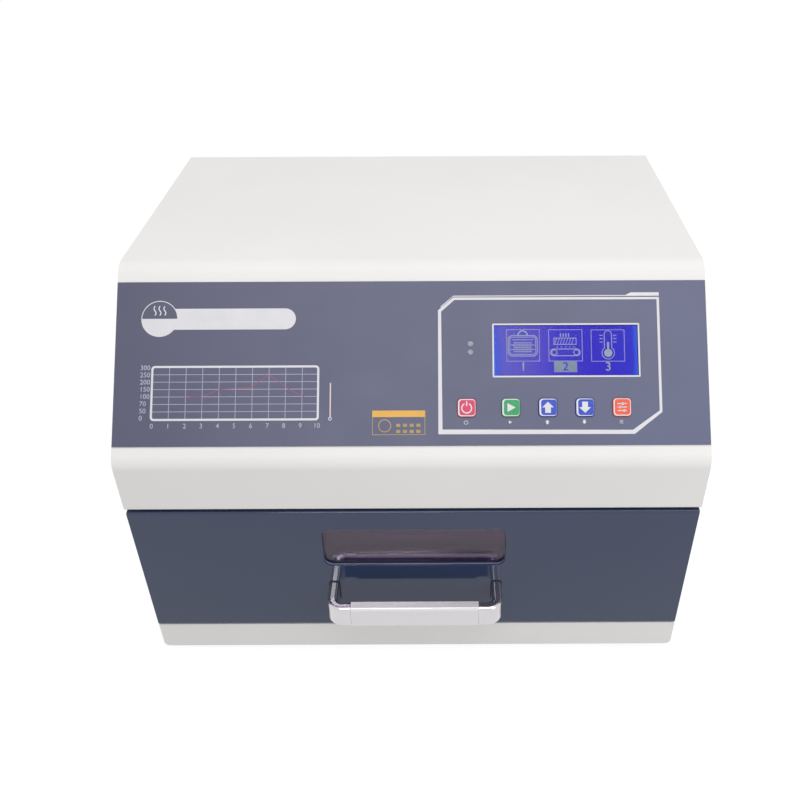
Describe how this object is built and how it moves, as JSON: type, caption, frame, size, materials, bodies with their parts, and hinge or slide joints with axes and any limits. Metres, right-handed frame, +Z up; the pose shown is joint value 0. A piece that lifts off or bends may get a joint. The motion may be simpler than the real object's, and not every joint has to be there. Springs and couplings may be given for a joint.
{
  "type": "benchtop drawer reflow oven",
  "caption": "Benchtop reflow oven with a sloping control face, a windowed tray drawer on ball slides, a hood with heater tubes, fans and a rear fume outlet.",
  "frame": {"origin": "centre of the bounding box's footprint, on the bench under the rubber feet", "axes": "+Z up, -Y towards the drawer's handle and the user, +X to the user's right"},
  "size_m": [0.4242, 0.3746, 0.3115],
  "materials": {
    "white_paint": "fine texture, satin",
    "navy_paint": "gloss",
    "printed_film": "printed film, satin",
    "display_blue": "clear, backlit blue",
    "key_red": "gloss",
    "key_green": "gloss",
    "key_blue": "gloss",
    "key_orange": "gloss",
    "lamp": "diffused",
    "pane": "grey tint",
    "chrome": "polished",
    "satin_aluminium": "satin",
    "stainless": "brushed",
    "zinc_steel": "zinc plated",
    "wool": "mineral wool board",
    "quartz": "milky quartz",
    "ceramic": "unglazed",
    "circuit_board": "solder mask",
    "black_plastic": "fine texture",
    "iron_core": "varnished laminations",
    "motor_steel": "grey paint",
    "rubber": "matt",
    "rocker_red": "gloss"
  },
  "bodies": {
    "case": {"base_pan": "white_paint", "left_side_panel": "white_paint", "right_side_panel": "white_paint", "rear_panel": "white_paint", "top_cover": "white_paint", "front_frame": "zinc_steel", "left_side_frame": "zinc_steel", "right_side_frame": "zinc_steel", "hood_shell": "zinc_steel", "hood_insulation": "wool", "hood_liner": "stainless", "reflector": "stainless", "heater_tubes": "quartz", "tube_end_caps": "ceramic", "thermocouple": "stainless", "electronics_shelf": "zinc_steel", "circulation_motor": "motor_steel", "power_board": "circuit_board", "transformer": "iron_core", "control_overlay": "printed_film", "lcd_window": "display_blue", "lcd_module": "black_plastic", "indicator_lights": "lamp", "control_board": "circuit_board", "cooling_fan_frame": "black_plastic", "fan_guard": "chrome", "exhaust_pipe": "stainless", "inlet_socket": "black_plastic", "switch_housing": "black_plastic", "slide_outer_left": "zinc_steel", "slide_outer_right": "zinc_steel", "rubber_feet": "rubber", "case_screws": "zinc_steel"},
    "drawer": {"drawer_front": "navy_paint", "drawer_inner_panel": "stainless", "drawer_front_insulation": "wool", "window_outer_glass": "pane", "window_inner_glass": "pane", "window_frame": "zinc_steel", "handle_bar": "satin_aluminium", "handle_corner_left": "chrome", "handle_corner_right": "chrome", "handle_screws": "zinc_steel", "drawer_shell": "zinc_steel", "drawer_insulation": "wool", "drawer_tray": "stainless", "wire_rack": "stainless", "slide_inner_left": "zinc_steel", "slide_inner_right": "zinc_steel"},
    "left_middle_slide": {"slide_middle_left": "zinc_steel"},
    "right_middle_slide": {"slide_middle_right": "zinc_steel"},
    "circulation_rotor": {"circulation_impeller": "stainless"},
    "cooling_rotor": {"cooling_fan_rotor": "black_plastic"},
    "rocker": {"power_rocker": "rocker_red"},
    "power_key": {"key_power": "key_red"},
    "run_key": {"key_run": "key_green"},
    "up_key": {"key_up": "key_blue"},
    "down_key": {"key_down": "key_blue"},
    "set_key": {"key_set": "key_orange"}
  },
  "joints": [
    {"name": "drawer_slide", "type": "slide", "parent": "case", "child": "drawer", "axis": [0, -1, 0], "range_m": [0, 0.225]},
    {"name": "left_middle_slide_travel", "type": "slide", "parent": "case", "child": "left_middle_slide", "axis": [0, -1, 0], "range_m": [0, 0.1125]},
    {"name": "right_middle_slide_travel", "type": "slide", "parent": "case", "child": "right_middle_slide", "axis": [0, -1, 0], "range_m": [0, 0.1125]},
    {"name": "circulation_spin", "type": "hinge", "parent": "case", "child": "circulation_rotor", "pos_m": [0, -0.02375, 0.2127], "axis": [0, 0, 1], "continuous": true},
    {"name": "cooling_spin", "type": "hinge", "parent": "case", "child": "cooling_rotor", "pos_m": [0.13, 0.14325, 0.2572], "axis": [0, 1, 0], "continuous": true},
    {"name": "rocker_tip", "type": "hinge", "parent": "case", "child": "rocker", "pos_m": [-0.096, 0.15625, 0.076], "axis": [1, 0, 0], "range_deg": [0, 20]},
    {"name": "power_key_press", "type": "slide", "parent": "case", "child": "power_key", "axis": [0, 0.7461, -0.6659], "range_m": [0, 0.0008], "stiffness_N_per_m": 600},
    {"name": "run_key_press", "type": "slide", "parent": "case", "child": "run_key", "axis": [0, 0.7461, -0.6659], "range_m": [0, 0.0008], "stiffness_N_per_m": 600},
    {"name": "up_key_press", "type": "slide", "parent": "case", "child": "up_key", "axis": [0, 0.7461, -0.6659], "range_m": [0, 0.0008], "stiffness_N_per_m": 600},
    {"name": "down_key_press", "type": "slide", "parent": "case", "child": "down_key", "axis": [0, 0.7461, -0.6659], "range_m": [0, 0.0008], "stiffness_N_per_m": 600},
    {"name": "set_key_press", "type": "slide", "parent": "case", "child": "set_key", "axis": [0, 0.7461, -0.6659], "range_m": [0, 0.0008], "stiffness_N_per_m": 600}
  ],
  "couplings": [
    {"joint": "left_middle_slide_travel", "follows": "drawer_slide", "ratio": 0.5},
    {"joint": "right_middle_slide_travel", "follows": "drawer_slide", "ratio": 0.5}
  ]
}
